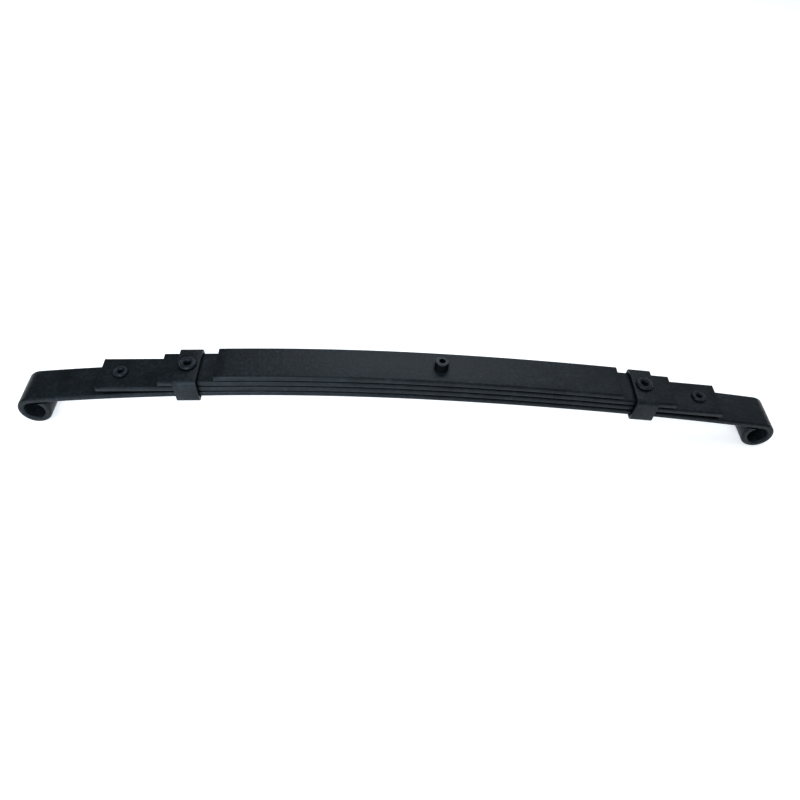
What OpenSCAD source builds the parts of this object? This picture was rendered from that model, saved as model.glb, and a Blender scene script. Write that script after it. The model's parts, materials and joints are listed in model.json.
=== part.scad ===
// Semi-elliptic leaf spring: four stacked leaves, an eye rolled at each end of
// the main leaf, a centre bolt, two rebound clips and two riveted tip pads.
// Millimetres. The origin is the centre of the eye at the long end, +X runs
// to the other eye, +Y along the eyes' bores and +Z up, on the arch's outside.
// Each leaf is laid out from the centre bolt, one half to each side of it.

/* [Leaves] */
// Width of every leaf
leaf_width = 40; // [36:0.5:50]
// Thickness of every leaf
leaf_thickness = 6.2; // [5.5:0.1:7]
// Space that paint and mill scale leave between two leaves
leaf_gap = 0.2; // [0.1:0.05:0.4]
// Radius of the leaves' rolled edges
edge_radius = 1.2; // [0.5:0.1:2]
// Arch radius under the main leaf, on the long side of the centre bolt
long_radius = 2160; // [2000:10:3000]
// Arch radius under the main leaf, on the short side
short_radius = 3460; // [3000:10:4000]
// Unbent length at each tip of the second leaf, which opens a gap for its pad
straight_tip = 130; // [120:1:140]

/* [Lengths from the centre bolt] */
// Main leaf to the eye, long side
main_long = 387; // [370:1:420]
// Main leaf to the eye, short side
main_short = 324; // [315:1:360]
// Second leaf, long side
second_long = 320; // [310:1:330]
// Second leaf, short side
second_short = 276; // [270:1:280]
// Third leaf, long side
third_long = 261; // [255:1:270]
// Third leaf, short side
third_short = 227; // [220:1:235]
// Top leaf, long side
top_long = 208; // [190:1:215]
// Top leaf, short side
top_short = 172; // [160:1:178]
// Rebound clip, long side
clip_long = 235; // [230:1:240]
// Rebound clip, short side
clip_short = 197; // [193:1:203]

/* [Eyes] */
// Bore of the rolled eyes
eye_bore = 19; // [16:0.5:24]
// Slot left between the end of the roll and the leaf
eye_slot = 0.8; // [0.5:0.1:2]
// Straight run of the main leaf into each eye
eye_run = 10; // [5:1:20]

/* [Centre bolt] */
// Thread diameter of the centre bolt
bolt_diameter = 8; // [8:1:10]
// Head diameter
bolt_head_diameter = 13; // [13:0.5:16]
// Head height
bolt_head_height = 8; // [6:0.5:10]
// Hexagon socket, across its flats
socket_flats = 6; // [5:1:8]
// Hexagon nut, across its flats
nut_flats = 13; // [13:1:17]
// Nut height
nut_height = 6.5; // [5:0.5:8]
// Length of thread below the nut
bolt_end = 3; // [1:0.5:8]

/* [Rebound clips] */
// Width of the clip's strap along the leaves
clip_width = 21.5; // [18:0.5:25]
// Thickness of the strap
clip_thickness = 3; // [2:0.5:4]
// Space between a clip's leg and the leaves' edges
clip_side_gap = 0.7; // [0.6:0.1:1.5]
// Space under the main leaf, where the clip's ends turn in
clip_under_gap = 1.1; // [0.9:0.1:2]
// Running space above and below the strap at the rivet
clip_lift = 0.3; // [0.2:0.05:0.5]
// Inside radius of the clip's bends
clip_bend = 1.5; // [1:0.5:3]
// Length of each end turned in under the main leaf
clip_tab = 9; // [6:1:14]

/* [Rivets and tip pads] */
// Shank radius of a clip rivet
clip_rivet_radius = 5; // [4:0.5:5]
// Outer radius of a clip rivet's rolled rim
clip_rim_radius = 8.2; // [7:0.1:9.5]
// Radius of the hole inside a clip rivet's rim
clip_rim_hole = 3.2; // [2.5:0.1:4]
// Height of a clip rivet's rim above the strap
clip_rim_rise = 3.4; // [2.6:0.1:4]
// Shank radius of a tip rivet
tip_rivet_radius = 4; // [3:0.5:4]
// Outer radius of a tip rivet's rolled rim
tip_rim_radius = 7; // [6:0.1:8]
// Radius of the hole inside a tip rivet's rim
tip_rim_hole = 2.6; // [2:0.1:3]
// Height of a tip rivet's rim above the second leaf
tip_rim_rise = 3; // [2.3:0.1:3.6]
// Distance from a tip rivet to the end of the second leaf
tip_rivet_inset = 20; // [18:1:26]
// Diameter of a tip pad
pad_diameter = 24; // [20:1:28]

/* [Hidden] */
$fn = 64;
arch_fn = 720;              // fine enough that a facet of an arch is 0.02 mm deep
pitch = leaf_thickness + leaf_gap;
eye_inner = eye_bore / 2;
eye_outer = eye_inner + leaf_thickness;
stack_height = 4 * pitch - leaf_gap;
clip_roof = clip_lift + clip_thickness + clip_lift;   // rivet rim above the third leaf
hole_clearance = 0.2;       // radial, round the bolt and inside the leaves
running_clearance = 0.05;   // radial, clip on its rivet
lap = 0.5;                  // how far an end runs into the arch it joins
film = 0.05;                // paint between faces that are clamped together
cut = 1;                    // how far a cutter runs past what it cuts
head_chamfer = 0.6;
socket_depth = 4;
roll_turn = 340;            // degrees an eye is rolled through before its end is cut
roll_end = 1;               // distance of that end from the eye's centre, along the leaf
tip_hole_depth = 2;         // depth of a tip rivet's hole below the leaf's face
rivet_foot = 2;             // depth of a countersunk rivet foot
rivet_spread = 2;           // how far a foot spreads beyond its shank
pad_recess = 0.5;           // pad left between the leaf and the tip rivet's foot
pad_foot = 0.8;             // thickness of the tip rivet's foot
pad_blank = 6;              // thickness of a pad before its lower face is cut

// Colours of the finishes
paint = "#2b3134";
bolt_black = "#1f2224";
rivet_steel = "#3a4145";
pad_black = "#17191a";

// A side of the spring is -1 for the long side, towards -X, or 1 for the short.
LONG = -1;
SHORT = 1;

function arch_radius(side) = side == LONG ? long_radius : short_radius;
function turn(side, s) = s / arch_radius(side) * 180 / PI;
function straight_from(side) =
    (side == LONG ? second_long : second_short) - straight_tip;
function eye_from(side) = (side == LONG ? main_long : main_short) - eye_run;

// Centre of an eye, seen from the centre bolt
function eye_centre(side) =
    let (r = arch_radius(side), a = turn(side, eye_from(side)),
         e = r + leaf_thickness - eye_outer)
    [side * (e * sin(a) + eye_run * cos(a)), 0, e * cos(a) - eye_run * sin(a) - r];
eye_span = eye_centre(SHORT) - eye_centre(LONG);
level_tilt = atan2(eye_span.z, eye_span.x);

// Quarter circle of a rounded outline
function corner(x, y, r, start, steps) =
    [for (i = [0:steps]) let (a = start + 90 * i / steps) [x + r * cos(a), y + r * sin(a)]];

// Rounded rectangle, from x0 to x1 and as wide as w about y = 0
function rounded_outline(x0, x1, w, r, steps = 4) = concat(
    corner(x1 - r, w / 2 - r, r, 0, steps),
    corner(x0 + r, w / 2 - r, r, 90, steps),
    corner(x0 + r, r - w / 2, r, 180, steps),
    corner(x1 - r, r - w / 2, r, 270, steps));

// Section of a leaf whose inner face is at a given radius
function leaf_section(radius) =
    rounded_outline(radius, radius + leaf_thickness, leaf_width, edge_radius);

// Puts both eyes level, with the origin in the long end's eye
module spring_frame() {
    rotate([0, level_tilt, 0]) translate(-eye_centre(LONG)) children();
}

// Frame under the main leaf at distance s from the bolt, +Z square to the leaf
module at_station(side, s) {
    r = arch_radius(side);
    translate([0, 0, -r]) rotate([0, side * turn(side, s), 0]) translate([0, 0, r])
        children();
}

// Frame under the leaf of a given level at distance s, on its straight tip
module on_tip(side, s, level) {
    at_station(side, straight_from(side))
        translate([side * (s - straight_from(side)), 0, level * pitch])
            children();
}

// Arched half of a leaf, from the centre bolt to distance s
module arched_half(side, s, level) {
    r = arch_radius(side);
    mirror([side == LONG ? 0 : 1, 0, 0]) translate([0, 0, -r])
        rotate([90, 0, 0]) rotate([0, 0, 90])
            rotate_extrude(angle = turn(side, s), $fn = arch_fn)
                polygon(leaf_section(r + level * pitch));
}

// Straight end of a leaf, from just inside its arch to distance s
module straight_end(side, s, level) {
    length = s - straight_from(side) + lap;
    outline = [for (p = leaf_section(0)) [p.y, p.x]];
    on_tip(side, side == LONG ? s : straight_from(side) - lap, level)
        rotate([90, 0, 90]) linear_extrude(length) polygon(outline);
}

// A leaf with straight tips, drilled for the centre bolt
module tipped_leaf(level, long, short) {
    difference() {
        union() {
            arched_half(LONG, straight_from(LONG), level);
            arched_half(SHORT, straight_from(SHORT), level);
            straight_end(LONG, long, level);
            straight_end(SHORT, short, level);
        }
        bolt_hole();
    }
}

module bolt_hole() {
    translate([0, 0, -cut])
        cylinder(h = stack_height + 2 * cut, r = bolt_diameter / 2 + hole_clearance);
}

// End of the main leaf: a short straight run towards +X and, from its end at
// x = 0, the leaf rolled down, round and back under itself
module rolled_end() {
    section = leaf_section(eye_inner);
    difference() {
        rotate([90, 0, 0]) rotate([0, 0, 90])
            rotate_extrude(angle = roll_turn, $fn = 96) polygon(section);
        translate([roll_end, -leaf_width / 2 - cut, eye_inner - eye_slot])
            cube([eye_outer, leaf_width + 2 * cut, leaf_thickness + eye_slot + cut]);
    }
    rotate([90, 0, 90]) linear_extrude(eye_run + lap)
        polygon([for (p = section) [p.y, p.x]]);
}

module place_eye(side) {
    at_station(side, eye_from(side))
        translate([side * eye_run, 0, leaf_thickness - eye_outer])
            mirror([side == LONG ? 0 : 1, 0, 0]) rolled_end();
}

module main_leaf() color(paint) spring_frame() {
    difference() {
        union() {
            arched_half(LONG, eye_from(LONG), 0);
            arched_half(SHORT, eye_from(SHORT), 0);
            place_eye(LONG);
            place_eye(SHORT);
        }
        bolt_hole();
    }
}

module tip_rivet_hole(side, s) {
    on_tip(side, s - tip_rivet_inset, 1) translate([0, 0, -cut])
        cylinder(h = leaf_thickness + 2 * cut, r = tip_rivet_radius + hole_clearance / 2);
}

module second_leaf() color(paint) spring_frame() {
    difference() {
        tipped_leaf(1, second_long, second_short);
        tip_rivet_hole(LONG, second_long);
        tip_rivet_hole(SHORT, second_short);
    }
}

module clip_rivet_hole(side, s) {
    r = clip_rivet_radius + hole_clearance;
    on_tip(side, s, 2) {
        translate([0, 0, -cut]) cylinder(h = leaf_thickness + 2 * cut, r = r);
        translate([0, 0, -film])
            cylinder(h = rivet_foot + film, r1 = r + rivet_spread, r2 = r);
    }
}

module third_leaf() color(paint) spring_frame() {
    difference() {
        tipped_leaf(2, third_long, third_short);
        clip_rivet_hole(LONG, clip_long);
        clip_rivet_hole(SHORT, clip_short);
    }
}

module top_leaf() color(paint) spring_frame() {
    difference() {
        union() {
            arched_half(LONG, top_long, 3);
            arched_half(SHORT, top_short, 3);
        }
        bolt_hole();
    }
}

// Socket head screw down through the leaves, its head on the top leaf
module centre_bolt() color(bolt_black) spring_frame() {
    shank = stack_height + nut_height + bolt_end;
    translate([0, 0, stack_height]) difference() {
        union() {
            translate([0, 0, -shank]) cylinder(h = shank + cut, r = bolt_diameter / 2);
            translate([0, 0, film])
                cylinder(h = bolt_head_height - head_chamfer, d = bolt_head_diameter);
            translate([0, 0, film + bolt_head_height - head_chamfer])
                cylinder(h = head_chamfer, d1 = bolt_head_diameter,
                         d2 = bolt_head_diameter - 2 * head_chamfer);
        }
        translate([0, 0, bolt_head_height - socket_depth])
            cylinder(h = socket_depth + cut, d = socket_flats / cos(30), $fn = 6);
    }
}

module centre_nut() color(bolt_black) spring_frame() {
    translate([0, 0, -film - nut_height]) difference() {
        cylinder(h = nut_height, d = nut_flats / cos(30), $fn = 6);
        translate([0, 0, -cut])
            cylinder(h = nut_height + 2 * cut, r = bolt_diameter / 2 + film);
    }
}

// Strap bent round three leaves, its ends turned in under the main leaf
module rebound_clip() {
    inner_width = leaf_width + 2 * clip_side_gap;
    inner_height = 3 * leaf_thickness + 2 * leaf_gap + clip_lift + clip_under_gap;
    roof = leaf_thickness + clip_lift;
    outer = rounded_outline(roof - inner_height - clip_thickness, roof + clip_thickness,
                            inner_width + 2 * clip_thickness, clip_bend + clip_thickness, 8);
    inner = rounded_outline(roof - inner_height, roof, inner_width, clip_bend, 8);
    mouth = inner_width - 2 * clip_tab;
    difference() {
        translate([-clip_width / 2, 0, 0]) rotate([90, 0, 90])
            linear_extrude(clip_width) polygon([for (p = outer) [p.y, p.x]]);
        translate([-clip_width / 2 - cut, 0, 0]) rotate([90, 0, 90])
            linear_extrude(clip_width + 2 * cut) polygon([for (p = inner) [p.y, p.x]]);
        translate([-clip_width / 2 - cut, -mouth / 2, roof - inner_height - clip_thickness - cut])
            cube([clip_width + 2 * cut, mouth, clip_thickness + 2 * cut]);
        cylinder(h = roof + clip_thickness + cut, r = clip_rivet_radius + running_clearance);
    }
}

module long_end_clip() color(paint) spring_frame()
    on_tip(LONG, clip_long, 2) rebound_clip();

module short_end_clip() color(paint) spring_frame()
    on_tip(SHORT, clip_short, 2) rebound_clip();

// Rolled-over end of a tubular rivet: half outline from the floor of its hole
// to the outer edge of its rim, which starts at height base
function rolled_rim(base, floor_z, hole, rim_outer, rise) =
    let (tube = (rim_outer - hole) / 2, middle = base + rise - tube)
    concat([[0, floor_z], [hole, floor_z]],
           [for (a = [180:-15:0]) [hole + tube + tube * cos(a), middle + tube * sin(a)]],
           [[rim_outer, base]]);

// Clip rivet, from its countersunk foot in the third leaf to its rolled rim
module clip_rivet() {
    base = leaf_thickness + clip_roof;
    r = clip_rivet_radius;
    profile = concat(
        rolled_rim(base, leaf_thickness, clip_rim_hole, clip_rim_radius, clip_rim_rise),
        [[r, base], [r, rivet_foot], [r + rivet_spread, film], [0, film]]);
    rotate_extrude() polygon(profile);
}

module long_end_clip_rivet() color(rivet_steel) spring_frame()
    on_tip(LONG, clip_long, 2) clip_rivet();

module short_end_clip_rivet() color(rivet_steel) spring_frame()
    on_tip(SHORT, clip_short, 2) clip_rivet();

// Tip rivet, from its flat foot in the pad to its rolled rim on the second leaf
module tip_rivet() {
    base = leaf_thickness + film;
    r = tip_rivet_radius;
    foot = -pad_recess - pad_foot;
    profile = concat(
        rolled_rim(base, leaf_thickness - tip_hole_depth, tip_rim_hole, tip_rim_radius,
                   tip_rim_rise),
        [[r, base], [r, -pad_recess], [r + rivet_spread, -pad_recess],
         [r + rivet_spread, foot], [0, foot]]);
    rotate_extrude() polygon(profile);
}

module long_end_tip_rivet() color(rivet_steel) spring_frame()
    on_tip(LONG, second_long - tip_rivet_inset, 1) tip_rivet();

module short_end_tip_rivet() color(rivet_steel) spring_frame()
    on_tip(SHORT, second_short - tip_rivet_inset, 1) tip_rivet();

// Disc between the second leaf's tip and the main leaf, a plane face to each
module tip_pad(side, s) {
    hole = tip_rivet_radius + hole_clearance / 2;
    difference() {
        on_tip(side, s, 1) difference() {
            translate([0, 0, -pad_blank]) cylinder(h = pad_blank - film, d = pad_diameter);
            translate([0, 0, -pad_blank - cut]) cylinder(h = pad_blank + 2 * cut, r = hole);
            translate([0, 0, -pad_blank - cut])
                cylinder(h = pad_blank + cut - pad_recess + film, r = hole + rivet_spread);
        }
        at_station(side, s)
            translate([-pad_diameter, -pad_diameter, leaf_thickness + film - 2 * pad_blank])
                cube([2 * pad_diameter, 2 * pad_diameter, 2 * pad_blank]);
    }
}

module long_end_tip_pad() color(pad_black) spring_frame()
    tip_pad(LONG, second_long - tip_rivet_inset);

module short_end_tip_pad() color(pad_black) spring_frame()
    tip_pad(SHORT, second_short - tip_rivet_inset);

main_leaf();
second_leaf();
third_leaf();
top_leaf();
centre_bolt();
centre_nut();
long_end_clip();
short_end_clip();
long_end_clip_rivet();
short_end_clip_rivet();
long_end_tip_pad();
short_end_tip_pad();
long_end_tip_rivet();
short_end_tip_rivet();
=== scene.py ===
"""A light vehicle's leaf spring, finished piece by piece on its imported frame.

Metres, in the frame of the CAD: the origin is the centre of the long end's eye,
+X runs to the short end's eye, +Y along the bores and +Z up. The leaves are
shaped in the bolt's frame, whose origin is under the main leaf at the centre
bolt and whose Z is the bolt's axis, and are then put in their place.
"""

import json
import math

import bmesh
import bpy
from mathutils import Matrix, Vector


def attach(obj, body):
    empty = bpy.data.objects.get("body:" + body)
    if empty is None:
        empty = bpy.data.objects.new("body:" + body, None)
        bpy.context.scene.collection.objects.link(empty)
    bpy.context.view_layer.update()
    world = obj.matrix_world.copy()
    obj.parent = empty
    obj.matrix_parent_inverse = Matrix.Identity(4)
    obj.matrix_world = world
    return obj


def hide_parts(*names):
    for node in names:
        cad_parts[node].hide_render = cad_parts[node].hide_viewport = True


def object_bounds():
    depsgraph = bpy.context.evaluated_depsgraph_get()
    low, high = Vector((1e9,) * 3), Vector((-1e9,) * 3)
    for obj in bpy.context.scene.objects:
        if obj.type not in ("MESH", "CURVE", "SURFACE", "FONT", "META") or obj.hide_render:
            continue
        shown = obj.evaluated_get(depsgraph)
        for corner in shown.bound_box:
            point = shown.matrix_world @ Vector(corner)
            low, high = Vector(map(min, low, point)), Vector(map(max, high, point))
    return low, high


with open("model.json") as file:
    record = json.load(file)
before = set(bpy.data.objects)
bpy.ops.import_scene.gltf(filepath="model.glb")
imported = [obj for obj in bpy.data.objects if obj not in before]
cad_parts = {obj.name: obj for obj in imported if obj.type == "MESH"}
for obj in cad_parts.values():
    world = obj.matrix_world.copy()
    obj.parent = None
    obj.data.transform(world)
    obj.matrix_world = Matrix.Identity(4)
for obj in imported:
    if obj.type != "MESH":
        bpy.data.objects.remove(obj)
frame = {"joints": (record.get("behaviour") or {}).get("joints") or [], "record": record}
cad_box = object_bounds()

MM = 0.001
LONG, SHORT = -1, 1                  # a side of the spring: towards -X or +X
ENDS = {LONG: "long_end", SHORT: "short_end"}

# Rolled flat
LEAF_WIDTH = 40 * MM
LEAF_THICKNESS = 6.2 * MM
PITCH = 6.4 * MM                     # one leaf and the paint under it
ROLLED_EDGE = 2.2 * MM
ARCH_RADIUS = {LONG: 2160 * MM, SHORT: 3460 * MM}

# Distances along the leaves from the centre bolt
EYE_FROM = {LONG: 377 * MM, SHORT: 314 * MM}
EYE_RUN = 10 * MM
SECOND_END = {LONG: 320 * MM, SHORT: 276 * MM}
THIRD_END = {LONG: 261 * MM, SHORT: 227 * MM}
TOP_END = {LONG: 208 * MM, SHORT: 172 * MM}
STRAIGHT_FROM = {LONG: 190 * MM, SHORT: 146 * MM}
SHEARED_EDGE = 0.35 * MM
CLIP_AT = {LONG: 235 * MM, SHORT: 197 * MM}
TIP_RIVET_AT = {LONG: 300 * MM, SHORT: 256 * MM}

# Eyes
EYE_INNER = 9.5 * MM
EYE_OUTER = EYE_INNER + LEAF_THICKNESS
EYE_SLOT = 0.8 * MM
EYE_ROLL = math.radians(270)         # its last quarter is closed up under the leaf

# Centre bolt and nut
STACK = 4 * PITCH - (PITCH - LEAF_THICKNESS)
FILM = 0.05 * MM
BOLT_RADIUS = 4 * MM
BOLT_HOLE = 4.2 * MM
DRILL_PAST = 2 * MM                  # how far a drill runs past what it drills
LEAF_DRILLED = 9 * MM                # how high it reaches through one leaf
HEAD_RADIUS = 6.5 * MM
HEAD_HEIGHT = 8 * MM
HEAD_CHAMFER = 0.6 * MM
SOCKET_FLATS = 6 * MM
SOCKET_DEPTH = 4 * MM
NUT_FLATS = 13 * MM
NUT_HEIGHT = 6.5 * MM
NUT_CONE = 0.75 * MM
BOLT_END = 3 * MM
KNURL_SIDES = 96
KNURL_DEPTH = 0.035                  # of the head's radius
THREAD_PITCH = 1.25 * MM
THREAD_DEPTH = 0.6 * MM

# Rebound clips
CLIP_WIDTH = 21.5 * MM
CLIP_THICKNESS = 3 * MM
CLIP_LIFT = 0.3 * MM
CLIP_INSIDE = LEAF_WIDTH / 2 + 0.7 * MM
CLIP_ROOF = LEAF_THICKNESS + CLIP_LIFT
CLIP_FLOOR = CLIP_ROOF - (3 * LEAF_THICKNESS + 0.4 * MM + CLIP_LIFT + 1.1 * MM)
CLIP_BEND = 1.5 * MM
CLIP_TAB = 9 * MM
STRAP_EDGE = 0.45 * MM

# Rivets and pads
CLIP_RIVET = 5 * MM
CLIP_RIVET_HOLE = 5.2 * MM
TIP_RIVET = 4 * MM
TIP_RIVET_HOLE = 4.1 * MM
RIVET_SPREAD = 2 * MM
CLIP_RIM = 8.2 * MM
CLIP_RIM_HOLE = 3.2 * MM
CLIP_RIM_RISE = 3.4 * MM
TIP_RIM = 7 * MM
TIP_RIM_HOLE = 2.6 * MM
TIP_RIM_RISE = 3 * MM
TIP_HOLE_DEPTH = 2 * MM
PAD_RADIUS = 12 * MM
PAD_BLANK = 6 * MM
PAD_RECESS = 0.5 * MM
PAD_FOOT = 0.8 * MM


# ---------------------------------------------------------------- places

def upright(origin, up):
    """Frame whose Z is up and whose Y is the spring's own."""
    z = Vector(up).normalized()
    y = Vector((0, 1, 0))
    placed = Matrix((y.cross(z), y, z)).transposed().to_4x4()
    placed.translation = Vector(origin)
    return placed


mounts = {m["name"]: m for m in frame["record"]["mounts"]}
swivels = {j["name"]: j for j in frame["joints"]}

bolt_head = mounts["centre_bolt_head"]
head_middle = STACK + FILM + (HEAD_HEIGHT - HEAD_CHAMFER) / 2
bolt_frame = upright(
    Vector(bolt_head["pos_m"]) - head_middle * Vector(bolt_head["axis"]).normalized(),
    bolt_head["axis"])


def clip_frame(side):
    """Frame under the third leaf at a clip, Z along the clip's rivet."""
    swivel = swivels[ENDS[side] + "_clip_swivel"]
    up = Vector(swivel["axis"]).normalized()
    return upright(Vector(swivel["pos_m"]) - up * (CLIP_ROOF + CLIP_THICKNESS / 2), up)


def tip_frame(side):
    """Frame under the second leaf at its tip rivet, on the same straight tip."""
    outward = side * (TIP_RIVET_AT[side] - CLIP_AT[side])
    return clip_frame(side) @ Matrix.Translation((outward, 0, -PITCH))


# ---------------------------------------------------------------- bench work

def begin(name):
    """Names the new primitive, fixes its place in its mesh and opens it for editing."""
    piece = bpy.context.object
    piece.name = piece.data.name = name
    bpy.ops.object.transform_apply(location=True, rotation=True, scale=True)
    bpy.ops.object.mode_set(mode="EDIT")
    bpy.ops.mesh.select_mode(type="VERT")
    bpy.ops.mesh.select_all(action="SELECT")
    return piece


def pick(kind, test):
    """Selects the faces or vertices whose middle passes the test, and no others."""
    mesh = bpy.context.edit_object.data
    bpy.ops.mesh.select_mode(type=kind)
    bpy.ops.mesh.select_all(action="DESELECT")
    shape = bmesh.from_edit_mesh(mesh)
    parts = {"FACE": shape.faces, "VERT": shape.verts}[kind]
    for part in parts:
        if part.hide:
            continue
        middle = part.co if kind == "VERT" else part.calc_center_median()
        if test(middle, part):
            part.select_set(True)
    shape.select_flush_mode()
    bmesh.update_edit_mesh(mesh)


def push(offset):
    """Extrudes what is selected along the offset."""
    bpy.ops.mesh.extrude_region_move(TRANSFORM_OT_translate={"value": tuple(offset)})


def tidy():
    """Merges doubles, turns every face outwards and ends the editing."""
    bpy.ops.mesh.reveal()
    bpy.ops.mesh.select_all(action="SELECT")
    bpy.ops.mesh.remove_doubles(threshold=0.002 * MM)
    bpy.ops.mesh.normals_make_consistent(inside=False)
    bpy.ops.object.mode_set(mode="OBJECT")


def finish_piece(piece, place=None, smooth=35):
    """Puts the piece in its place and smooths what is rounder than an edge."""
    bpy.ops.object.select_all(action="DESELECT")
    piece.select_set(True)
    bpy.context.view_layer.objects.active = piece
    if place is not None:
        piece.matrix_world = place
        bpy.ops.object.transform_apply(location=True, rotation=True, scale=True)
    bpy.ops.object.shade_smooth_by_angle(angle=math.radians(smooth))
    return piece


def apply(piece, kind, **settings):
    """Adds a modifier with its settings and applies it."""
    bpy.context.view_layer.objects.active = piece
    added = piece.modifiers.new(kind.title(), kind)
    for name, value in settings.items():
        setattr(added, name, value)
    bpy.ops.object.modifier_apply(modifier=added.name)


def cut_with(piece, cutter, operation="DIFFERENCE"):
    """Cuts the piece with the cutter, which is then thrown away."""
    apply(piece, "BOOLEAN", operation=operation, solver="EXACT", object=cutter)
    bpy.data.objects.remove(cutter)


def drill(piece, radius, low, high, place=None):
    """Drills the piece along Z, or along the Z of a frame, from low to high."""
    bpy.ops.mesh.primitive_cylinder_add(
        vertices=48, radius=radius, depth=high - low, location=(0, 0, (low + high) / 2))
    cutter = bpy.context.object
    bpy.ops.object.transform_apply(location=True, rotation=True, scale=True)
    if place is not None:
        cutter.matrix_world = place
    cut_with(piece, cutter)


# ---------------------------------------------------------------- leaves

def add_flat(name, bottom):
    """The rolled flat's section at the bolt, as one face with rounded corners."""
    middle = bottom + LEAF_THICKNESS / 2
    bpy.ops.mesh.primitive_plane_add(
        size=1, location=(0, 0, middle), rotation=(0, math.radians(90), 0))
    piece = begin(name)
    bpy.ops.transform.resize(value=(1, LEAF_WIDTH, LEAF_THICKNESS),
                             center_override=(0, 0, middle))
    bpy.ops.mesh.bevel(offset=ROLLED_EDGE, segments=7, affect="VERTICES")
    return piece


def arch(side, distance, steps):
    """Draws the selected end of a leaf along the arch; returns the run's turn."""
    turn = distance / ARCH_RADIUS[side]
    bpy.ops.mesh.spin(steps=steps, angle=turn, center=(0, 0, -ARCH_RADIUS[side]),
                      axis=(0, -side, 0))
    return turn


def along(side, turn):
    """Direction in which a leaf runs outwards after that turn."""
    return Vector((side * math.cos(turn), 0, -math.sin(turn)))


def shear_end():
    """Breaks the edges of the sheared end that is selected."""
    bpy.ops.mesh.bevel(offset=SHEARED_EDGE, segments=2, affect="EDGES")


def halves():
    """The two sides of a leaf in turn; the second starts from the section at the bolt."""
    yield LONG
    pick("FACE", lambda c, f: abs(c.x) < 0.01 * MM and abs(f.normal.x) > 0.9)
    yield SHORT


def tipped_leaf(name, level, ends):
    """A leaf that follows the arch and then runs straight to its sheared tips."""
    piece = add_flat(name, level * PITCH)
    for side in halves():
        turn = arch(side, STRAIGHT_FROM[side], 18)
        push(along(side, turn) * (ends[side] - STRAIGHT_FROM[side]))
        shear_end()
    tidy()
    drill(piece, BOLT_HOLE, -DRILL_PAST, STACK + DRILL_PAST)
    return piece


def roll_eye(side, turn):
    """Rolls the selected end down and round into an eye, its end closed up under the leaf."""
    run = along(side, turn)
    square = Vector((side * math.sin(turn), 0, math.cos(turn)))
    arc_end = Vector((side * ARCH_RADIUS[side] * math.sin(turn), 0,
                      ARCH_RADIUS[side] * (math.cos(turn) - 1)))
    centre = arc_end + run * EYE_RUN + square * (LEAF_THICKNESS - EYE_OUTER)
    push(run * EYE_RUN)
    bpy.ops.mesh.spin(steps=40, angle=EYE_ROLL, center=centre,
                      axis=(0, -side, 0))
    bpy.ops.mesh.hide(unselected=True)
    closing = math.acos((EYE_INNER - EYE_SLOT) / EYE_INNER)
    bpy.ops.mesh.spin(steps=10, angle=math.radians(90) - 0.98 * closing, center=centre,
                      axis=(0, -side, 0))
    bpy.ops.mesh.select_all(action="SELECT")
    bpy.ops.mesh.bisect(plane_co=centre + square * (EYE_INNER - EYE_SLOT),
                        plane_no=square, use_fill=True, clear_outer=True)
    bpy.ops.mesh.reveal()


def make_main_leaf():
    """The longest leaf, which ends in an eye at each end."""
    piece = add_flat("main_leaf_rolled", 0)
    for side in halves():
        turn = arch(side, EYE_FROM[side], 30)
        roll_eye(side, turn)
    tidy()
    drill(piece, BOLT_HOLE, -DRILL_PAST, STACK)
    return finish_piece(piece, bolt_frame)


def make_second_leaf():
    """The leaf whose straight tips are drilled for the tip rivets."""
    piece = tipped_leaf("second_leaf_rolled", 1, SECOND_END)
    finish_piece(piece, bolt_frame)
    for side in (LONG, SHORT):
        drill(piece, TIP_RIVET_HOLE, -DRILL_PAST, LEAF_DRILLED, tip_frame(side))
    return finish_piece(piece)


def make_third_leaf():
    """The leaf whose straight tips carry the clips on their rivets."""
    piece = tipped_leaf("third_leaf_rolled", 2, THIRD_END)
    finish_piece(piece, bolt_frame)
    for side in (LONG, SHORT):
        drill(piece, CLIP_RIVET_HOLE, -DRILL_PAST, LEAF_DRILLED, clip_frame(side))
    return finish_piece(piece)


def make_top_leaf():
    """The shortest leaf, arched to its sheared ends."""
    piece = add_flat("top_leaf_rolled", 3 * PITCH)
    for side in halves():
        arch(side, TOP_END[side], 20)
        shear_end()
    tidy()
    drill(piece, BOLT_HOLE, 0, STACK + DRILL_PAST)
    return finish_piece(piece, bolt_frame)


# ---------------------------------------------------------------- turned pieces

def turned(name, outline, steps=64):
    """Turns an outline of (radius, height) points about Z."""
    first = Vector((outline[0][0], 0, outline[0][1]))
    bpy.ops.mesh.primitive_plane_add(size=1 * MM, location=first)
    piece = begin(name)
    bpy.ops.mesh.merge(type="CENTER")
    at = first
    for radius, height in outline[1:]:
        to = Vector((radius, 0, height))
        push(to - at)
        at = to
    bpy.ops.mesh.select_all(action="SELECT")
    bpy.ops.mesh.spin(steps=steps, angle=math.radians(360), center=(0, 0, 0),
                      axis=(0, 0, 1))
    tidy()
    return piece


def rolled_rim(base, rise, hole, outer, floor):
    """Half outline of a tubular rivet's rolled end, from its hole's floor outwards."""
    tube = (outer - hole) / 2
    middle = base + rise - tube
    line = [(0, floor), (hole * 0.55, floor), (hole * 0.93, floor + 0.12 * MM),
            (hole, floor + 0.7 * MM)]
    line += [(hole + tube + tube * math.cos(a), middle + tube * math.sin(a))
             for a in [math.radians(180 - 12 * i) for i in range(16)]]
    line += [(outer - 0.25 * MM, base + 0.35 * MM), (outer - 0.6 * MM, base)]
    return line


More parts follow.
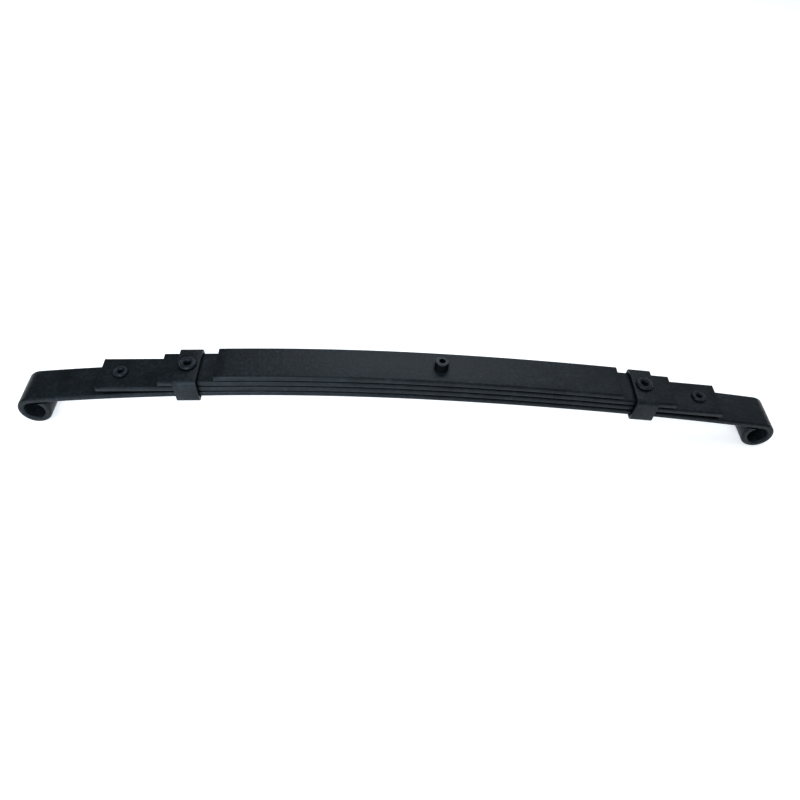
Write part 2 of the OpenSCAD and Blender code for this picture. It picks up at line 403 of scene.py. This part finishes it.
def make_clip_rivet(side):
    """Tubular rivet through a clip and the third leaf, spread out below the leaf."""
    base = CLIP_ROOF + CLIP_THICKNESS + CLIP_LIFT
    line = rolled_rim(base, CLIP_RIM_RISE, CLIP_RIM_HOLE, CLIP_RIM, LEAF_THICKNESS)
    line += [(CLIP_RIVET, base), (CLIP_RIVET, 2 * MM),
             (CLIP_RIVET + RIVET_SPREAD, 0.25 * MM),
             (CLIP_RIVET + RIVET_SPREAD - 0.3 * MM, FILM), (0, FILM)]
    piece = turned(ENDS[side] + "_clip_rivet_rolled", line)
    return finish_piece(piece, clip_frame(side))


def make_tip_rivet(side):
    """Tubular rivet through the second leaf's tip, its foot held in the pad."""
    base = LEAF_THICKNESS + FILM
    line = rolled_rim(base, TIP_RIM_RISE, TIP_RIM_HOLE, TIP_RIM,
                      LEAF_THICKNESS - TIP_HOLE_DEPTH)
    foot = TIP_RIVET + RIVET_SPREAD
    line += [(TIP_RIVET, base), (TIP_RIVET, -PAD_RECESS), (foot, -PAD_RECESS),
             (foot, -PAD_RECESS - PAD_FOOT), (0, -PAD_RECESS - PAD_FOOT)]
    piece = turned(ENDS[side] + "_tip_rivet_rolled", line)
    return finish_piece(piece, tip_frame(side))


def make_pad(side):
    """Moulded disc between the second leaf's tip and the main leaf, its foot cut to both."""
    hole = TIP_RIVET_HOLE
    well = hole + RIVET_SPREAD
    line = [(hole, -FILM), (hole, -PAD_RECESS), (well, -PAD_RECESS), (well, -PAD_BLANK),
            (PAD_RADIUS, -PAD_BLANK), (PAD_RADIUS, -0.5 * MM),
            (PAD_RADIUS - 0.15 * MM, -0.2 * MM), (PAD_RADIUS - 0.45 * MM, -FILM), (hole, -FILM)]
    piece = turned(ENDS[side] + "_tip_pad_moulded", line)
    finish_piece(piece, tip_frame(side))
    slope = TIP_RIVET_AT[side] / ARCH_RADIUS[side]
    square = bolt_frame.to_3x3() @ Vector((side * math.sin(slope), 0, math.cos(slope)))
    main_top = bolt_frame @ Vector((
        side * (ARCH_RADIUS[side] + LEAF_THICKNESS + FILM) * math.sin(slope), 0,
        (ARCH_RADIUS[side] + LEAF_THICKNESS + FILM) * math.cos(slope) - ARCH_RADIUS[side]))
    bpy.ops.object.mode_set(mode="EDIT")
    bpy.ops.mesh.select_all(action="SELECT")
    bpy.ops.mesh.bisect(plane_co=main_top, plane_no=square, use_fill=True, clear_inner=True)
    tidy()
    return finish_piece(piece)


# ---------------------------------------------------------------- centre bolt and nut

def hexagon(flats, low, high):
    """A hexagonal prism across Z."""
    bpy.ops.mesh.primitive_cylinder_add(
        vertices=6, radius=flats / 2 / math.cos(math.radians(30)), depth=high - low,
        location=(0, 0, (low + high) / 2))
    prism = bpy.context.object
    bpy.ops.object.transform_apply(location=True, rotation=True, scale=True)
    return prism


def make_centre_bolt():
    """Socket head screw: knurled head, broached socket, shank and a threaded end."""
    under = STACK + FILM
    top = under + HEAD_HEIGHT
    bpy.ops.mesh.primitive_cylinder_add(
        vertices=KNURL_SIDES, radius=HEAD_RADIUS, depth=HEAD_HEIGHT,
        location=(0, 0, (under + top) / 2))
    piece = begin("centre_bolt_socket_head")
    # the knurl's grooves are every second upright edge between two plain bands
    for height in (under + 0.7 * MM, top - 1.5 * MM):
        bpy.ops.mesh.select_all(action="SELECT")
        bpy.ops.mesh.bisect(plane_co=(0, 0, height), plane_no=(0, 0, 1))
    step = 2 * math.pi / KNURL_SIDES

    def groove(c, v):
        turned_by = math.atan2(c.y, c.x) / step
        return (under + 0.3 * MM < c.z < top - 0.3 * MM
                and round(turned_by) % 2 == 0)
    pick("VERT", groove)
    bpy.ops.transform.resize(value=(1 - KNURL_DEPTH, 1 - KNURL_DEPTH, 1),
                             center_override=(0, 0, under))
    pick("FACE", lambda c, f: f.normal.z > 0.9)
    bpy.ops.mesh.bevel(offset=HEAD_CHAMFER, segments=3, affect="EDGES")
    tidy()
    cut_with(piece, hexagon(SOCKET_FLATS, top - SOCKET_DEPTH, top + 1 * MM))

    # shank and thread: a turned screw with a ridge at every pitch below the leaves
    root = BOLT_RADIUS - THREAD_DEPTH
    end = -NUT_HEIGHT - BOLT_END
    line = [(0, under + 1 * MM), (BOLT_RADIUS, under + 1 * MM), (BOLT_RADIUS, 0.5 * MM)]
    height = 0.0
    while height - THREAD_PITCH > end + 0.9 * MM:
        line += [(BOLT_RADIUS, height), (root, height - 0.45 * THREAD_PITCH),
                 (root, height - 0.55 * THREAD_PITCH)]
        height -= THREAD_PITCH
    line += [(BOLT_RADIUS, height), (BOLT_RADIUS - 0.9 * MM, end), (0, end)]
    shank = turned("shank", line, steps=48)
    cut_with(piece, shank, "UNION")
    return finish_piece(piece, bolt_frame, smooth=30)


def make_centre_nut():
    """Hexagon nut, its corners turned down to a cone at both faces, on the bolt's thread."""
    low, high = -FILM - NUT_HEIGHT, -FILM
    corner = NUT_FLATS / 2 / math.cos(math.radians(30))
    piece = hexagon(NUT_FLATS, low, high)
    piece.name = piece.data.name = "centre_nut_chamfered"
    cone = turned("cone", [(0, high), (NUT_FLATS / 2 - 0.2 * MM, high),
                           (corner + 0.1 * MM, high - NUT_CONE),
                           (corner + 0.1 * MM, low + NUT_CONE),
                           (NUT_FLATS / 2 - 0.2 * MM, low), (0, low)], steps=72)
    cut_with(piece, cone, "INTERSECT")
    countersink = turned("countersink", [
        (0, high + 1 * MM), (BOLT_RADIUS + FILM, high + 1 * MM),
        (BOLT_RADIUS + FILM, low + 0.5 * MM), (BOLT_RADIUS + 0.6 * MM, low),
        (BOLT_RADIUS + 0.6 * MM, low - 1 * MM), (0, low - 1 * MM)], steps=48)
    cut_with(piece, countersink)
    bpy.ops.object.mode_set(mode="EDIT")
    bpy.ops.mesh.select_all(action="SELECT")
    bpy.ops.mesh.dissolve_degenerate(threshold=0.01 * MM)
    tidy()
    return finish_piece(piece, bolt_frame, smooth=30)


# ---------------------------------------------------------------- rebound clips

def make_clip(side):
    """Strap bent round the leaves: half of it is drawn from the rivet's line and mirrored."""
    middle = CLIP_ROOF + CLIP_THICKNESS / 2
    bpy.ops.mesh.primitive_plane_add(
        size=1, location=(0, 0, middle), rotation=(math.radians(90), 0, 0))
    piece = begin(ENDS[side] + "_clip_bent")
    bpy.ops.transform.resize(value=(CLIP_WIDTH, 1, CLIP_THICKNESS),
                             center_override=(0, 0, middle))
    bpy.ops.mesh.bevel(offset=STRAP_EDGE, segments=3, affect="VERTICES")
    flat_y = CLIP_INSIDE - CLIP_BEND
    for _ in range(8):
        push((0, flat_y / 8, 0))
    bpy.ops.mesh.spin(steps=8, angle=math.radians(90),
                      center=(0, flat_y, CLIP_ROOF - CLIP_BEND), axis=(1, 0, 0))
    push((0, 0, CLIP_FLOOR + CLIP_BEND - (CLIP_ROOF - CLIP_BEND)))
    bpy.ops.mesh.spin(steps=8, angle=math.radians(90),
                      center=(0, flat_y, CLIP_FLOOR + CLIP_BEND), axis=(1, 0, 0))
    push((0, -(CLIP_TAB - CLIP_BEND), 0))
    bpy.ops.mesh.bevel(offset=STRAP_EDGE, segments=3, affect="EDGES")
    pick("FACE", lambda c, f: abs(c.y) < 0.01 * MM and abs(f.normal.y) > 0.9)
    bpy.ops.mesh.delete(type="FACE")
    bpy.ops.mesh.select_all(action="SELECT")
    bpy.ops.mesh.normals_make_consistent(inside=False)
    bpy.ops.object.mode_set(mode="OBJECT")
    apply(piece, "MIRROR", use_axis=(False, True, False), use_clip=True,
          use_mirror_merge=True, merge_threshold=0.01 * MM)
    drill(piece, CLIP_RIVET + FILM, CLIP_ROOF - DRILL_PAST,
          CLIP_ROOF + CLIP_THICKNESS + DRILL_PAST)
    return finish_piece(piece, clip_frame(side))


# ---------------------------------------------------------------- finishes

MIX_A, MIX_B, MIXED = 6, 7, 2        # a mix node's sockets for colours


def shade(hex_colour):
    """An sRGB hex colour as linear light, with alpha."""
    parts = [int(hex_colour[i:i + 2], 16) / 255 for i in (1, 3, 5)]
    return tuple(p / 12.92 if p <= 0.04045 else ((p + 0.055) / 1.055) ** 2.4
                 for p in parts) + (1.0,)


def node(material, kind, values=None, links=None, **settings):
    """Adds a node: its settings, its sockets' values and what is linked to them."""
    added = material.node_tree.nodes.new(kind)
    for name, value in settings.items():
        setattr(added, name, value)
    for name, value in (values or {}).items():
        added.inputs[name].default_value = value
    for name, source in (links or {}).items():
        material.node_tree.links.new(source, added.inputs[name])
    return added


def new_finish(name, **values):
    """A material with its shader, whose even values are set on the shader itself."""
    material = bpy.data.materials.new(name)
    material.use_nodes = True
    shader = material.node_tree.nodes["Principled BSDF"]
    for socket, value in values.items():
        shader.inputs[socket.replace("_", " ")].default_value = value
    return material, shader


def link_finish(material, shader, **sources):
    """Links what the shader's uneven values come from."""
    for socket, source in sources.items():
        material.node_tree.links.new(source, shader.inputs[socket.replace("_", " ")])
    return material


def noise(material, place, size, detail, roughness=0.5):
    """Noise whose patches have about that size."""
    texture = node(material, "ShaderNodeTexNoise",
                   {"Scale": 1 / size, "Detail": detail, "Roughness": roughness},
                   {"Vector": place})
    return texture.outputs["Fac"]


def spread(material, source, low, high, start=0.0, stop=1.0):
    """A value that runs from low to high while its source runs from start to stop."""
    mapped = node(material, "ShaderNodeMapRange",
                  {"From Min": start, "From Max": stop, "To Min": low, "To Max": high},
                  {"Value": source})
    return mapped.outputs["Result"]


def add_scaled(material, source, factor, base):
    """A base with so much of the source added."""
    added = node(material, "ShaderNodeMath", {1: factor}, {0: source, 2: base},
                 operation="MULTIPLY_ADD")
    return added.outputs["Value"]


def blend(material, factor, colours=None, sources=None):
    """Mixes the colours of two sockets, each one given or taken from a source."""
    mixed = node(material, "ShaderNodeMix", colours, sources, data_type="RGBA")
    material.node_tree.links.new(factor, mixed.inputs["Factor"])
    return mixed.outputs[MIXED]


def bump(material, height, strength, depth, beneath=None):
    """Bumps of that depth, over those beneath them."""
    raised = node(material, "ShaderNodeBump", {"Strength": strength, "Distance": depth},
                  {"Height": height})
    if beneath is not None:
        material.node_tree.links.new(beneath, raised.inputs["Normal"])
    return raised.outputs["Normal"]


def satin_enamel(name, deep, worn, roughness, rolling_mm):
    """Satin black enamel sprayed thin over hot rolled steel. The eye gets a near black with a
    slate sheen, clouded and peppered where the coat is thinner, the steel's faint rolling marks
    along the leaf, a fine orange peel, and painted shade where pieces meet: near black colour
    and less sheen in the gaps."""
    material, shader = new_finish(name, IOR=1.34, Specular_Tint=shade("#e3f0fb"))
    place = node(material, "ShaderNodeTexCoord").outputs["Object"]
    cloud = noise(material, place, 22 * MM, 5.0, 0.62)
    # rolling marks run the length of the leaf: short across it, long along it
    lengthways = node(material, "ShaderNodeMapping", {"Scale": (0.05, 1.0, 1.0)},
                      {"Vector": place}).outputs["Vector"]
    marks = noise(material, lengthways, rolling_mm * MM, 3.0, 0.55)
    peel = noise(material, place, 0.9 * MM, 2.0)
    # scale pits under the coat pepper it and break up what the flat faces mirror
    pits = noise(material, place, 3.5 * MM, 4.0, 0.65)
    pepper = spread(material, pits, 0.0, 0.45, 0.44, 0.66)
    coat = spread(material, cloud, 0.1, 1.0, 0.32, 0.70)
    streak = add_scaled(material, marks, 0.30, pepper)
    thin = node(material, "ShaderNodeMath", None, {0: coat, 1: streak},
                operation="MULTIPLY", use_clamp=True).outputs["Value"]
    colour = blend(material, thin, {MIX_A: shade(deep), MIX_B: shade(worn)})
    # painted shade: where a leaf meets its neighbour the colour is darkened to near black and
    # the sheen is taken away, as shade in the gap
    gap_occlusion = node(material, "ShaderNodeAmbientOcclusion", {"Distance": 4 * MM}, samples=6)
    gap_unshaded = spread(material, gap_occlusion.outputs["AO"], 0.0, 1.0, 0.45, 0.85)
    gap_shaded_colour = blend(material, gap_unshaded, {MIX_A: shade("#050505")}, {MIX_B: colour})
    sheen = spread(material, gap_unshaded, 0.05, 0.29)
    gloss = spread(material, cloud, roughness - 0.06, roughness + 0.10)
    rough = add_scaled(material, pits, 0.16, gloss)
    pitted = bump(material, pits, 1.0, 0.40 * MM)
    rolled = bump(material, marks, 0.6, 0.10 * MM, pitted)
    skin = bump(material, peel, 0.35, 0.05 * MM, rolled)
    return link_finish(material, shader, Base_Color=gap_shaded_colour, Specular_IOR_Level=sheen,
                       Roughness=rough, Normal=skin)


def black_oxide():
    """Black oxide on machined steel. The eye gets a dark slate metal whose machined faces
    catch the light and whose oxide is blotched."""
    material, shader = new_finish("black_oxide_steel", Metallic=1.0)
    place = node(material, "ShaderNodeTexCoord").outputs["Object"]
    blotch = noise(material, place, 2.5 * MM, 4.0, 0.6)
    grain = noise(material, place, 0.35 * MM, 2.0)
    colour = blend(material, blotch, {MIX_A: shade("#17191c"), MIX_B: shade("#383d41")})
    return link_finish(material, shader, Base_Color=colour,
                       Roughness=spread(material, blotch, 0.3, 0.5),
                       Normal=bump(material, grain, 0.2, 0.03 * MM))


def moulded_rubber():
    """Moulded black rubber. The eye gets a dull, very dark grey with a fine grain and a
    little chalky bloom."""
    material, shader = new_finish("moulded_rubber", IOR=1.5)
    place = node(material, "ShaderNodeTexCoord").outputs["Object"]
    bloom = noise(material, place, 5 * MM, 4.0, 0.65)
    grain = noise(material, place, 0.4 * MM, 2.0)
    colour = blend(material, bloom, {MIX_A: shade("#121314"), MIX_B: shade("#2a2b2c")})
    return link_finish(material, shader, Base_Color=colour,
                       Roughness=spread(material, bloom, 0.62, 0.85),
                       Normal=bump(material, grain, 0.4, 0.06 * MM))


def light_table():
    """Lit white acrylic of a light table: pale, matt and all but free of shadows, with
    the faintest unevenness."""
    material, shader = new_finish("lit_white_acrylic", Roughness=0.9, Emission_Strength=0.6,
                                  Emission_Color=shade("#f6f9fc"))
    place = node(material, "ShaderNodeTexCoord").outputs["Object"]
    uneven = noise(material, place, 400 * MM, 2.0)
    colour = blend(material, uneven, {MIX_A: shade("#f3f4f5"), MIX_B: shade("#fafafa")})
    return link_finish(material, shader, Base_Color=colour)


leaf_paint = satin_enamel("satin_enamel_on_rolled_steel", "#0d1012", "#2c363c", 0.30, 1.6)
clip_paint = satin_enamel("satin_enamel_on_bent_strap", "#0e1113", "#2e383e", 0.30, 1.2)
rivet_paint = satin_enamel("satin_enamel_on_rivets", "#11161a", "#3b454d", 0.26, 1.0)
oxide = black_oxide()
rubber = moulded_rubber()


# ---------------------------------------------------------------- assembly

def fit(piece, finish, body, cad_node):
    """Finishes a piece and lets it ride with its body in the CAD node's stead."""
    piece.data.materials.clear()
    piece.data.materials.append(finish)
    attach(piece, body)
    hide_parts(cad_node)


bpy.ops.object.select_all(action="DESELECT")

fit(make_main_leaf(), leaf_paint, "leaf_pack", "main_leaf")
fit(make_second_leaf(), leaf_paint, "leaf_pack", "second_leaf")
fit(make_third_leaf(), leaf_paint, "leaf_pack", "third_leaf")
fit(make_top_leaf(), leaf_paint, "leaf_pack", "top_leaf")
fit(make_centre_bolt(), oxide, "leaf_pack", "centre_bolt")
fit(make_centre_nut(), oxide, "leaf_pack", "centre_nut")
for end in (LONG, SHORT):
    name = ENDS[end]
    fit(make_clip(end), clip_paint, name + "_clip", name + "_clip")
    fit(make_clip_rivet(end), rivet_paint, "leaf_pack", name + "_clip_rivet")
    fit(make_tip_rivet(end), rivet_paint, "leaf_pack", name + "_tip_rivet")
    fit(make_pad(end), rubber, "leaf_pack", name + "_tip_pad")


# ---------------------------------------------------------------- floor, light, camera

low, high = cad_box
centre = (low + high) / 2

bpy.ops.mesh.primitive_plane_add(size=8, location=(centre.x, 0, low.z))
floor = bpy.context.object
floor.name = "floor"
floor.data.materials.append(light_table())

world = bpy.data.worlds.new("studio")
bpy.context.scene.world = world
world.use_nodes = True
world.node_tree.nodes["Background"].inputs["Color"].default_value = shade("#dde7f1")
world.node_tree.nodes["Background"].inputs["Strength"].default_value = 0.16


def softbox(name, place, aim, size, power, tint="#ffffff"):
    """A rectangular soft light at a place, facing its aim."""
    bpy.ops.object.light_add(type="AREA", location=place)
    lamp = bpy.context.object
    lamp.name = name
    lamp.data.shape = "RECTANGLE"
    lamp.data.size, lamp.data.size_y = size
    lamp.data.energy = power
    lamp.data.color = shade(tint)[:3]
    facing = Vector(aim) - Vector(place)
    lamp.rotation_euler = facing.to_track_quat("-Z", "Y").to_euler()
    lamp.visible_camera = False
    return lamp


# the key and the low box light the fronts of the leaves, most at the long end; the long
# box behind is what the upper faces mirror between the clips, and the wing what the
# short end's tips mirror; the long end's tips mirror none of them and stay dark
softbox("key_front_left", (-0.25, -1.05, 1.15), (0.25, 0, 0), (0.9, 0.9), 11.5, "#f8fbff")
softbox("overhead", (0.40, -0.15, 1.6), (0.40, -0.10, 0), (2.4, 1.0), 5, "#f8fbff")
softbox("low_left", (0.10, -0.42, 0.15), (0.18, 0, 0.04), (0.16, 0.12), 1.5, "#dfecfa")
softbox("box_behind", (0.45, 1.07, 1.12), (0.35, 0, 0), (1.0, 0.7), 9.4, "#f0f6fc")
softbox("wing_right", (1.45, 1.0, 1.0), (0.65, 0, 0.05), (0.6, 0.6), 1.6, "#f0f6fc")
softbox("floor_right", (1.35, -0.1, 1.3), (0.8, 0.1, 0), (0.7, 0.7), 2, "#ffffff")

camera_data = bpy.data.cameras.new("camera")
camera = bpy.data.objects.new("camera", camera_data)
bpy.context.scene.collection.objects.link(camera)
camera.location = (315.06 * MM, -512.91 * MM, 550.39 * MM)
camera.rotation_euler = [math.radians(a) for a in (43.5878, -3.2964, -0.3019)]
camera_data.sensor_width = 36
camera_data.lens = 34.127
camera_data.clip_start = 10 * MM
camera_data.clip_end = 50
bpy.context.scene.camera = camera
bpy.context.scene.view_settings.view_transform = "Standard"
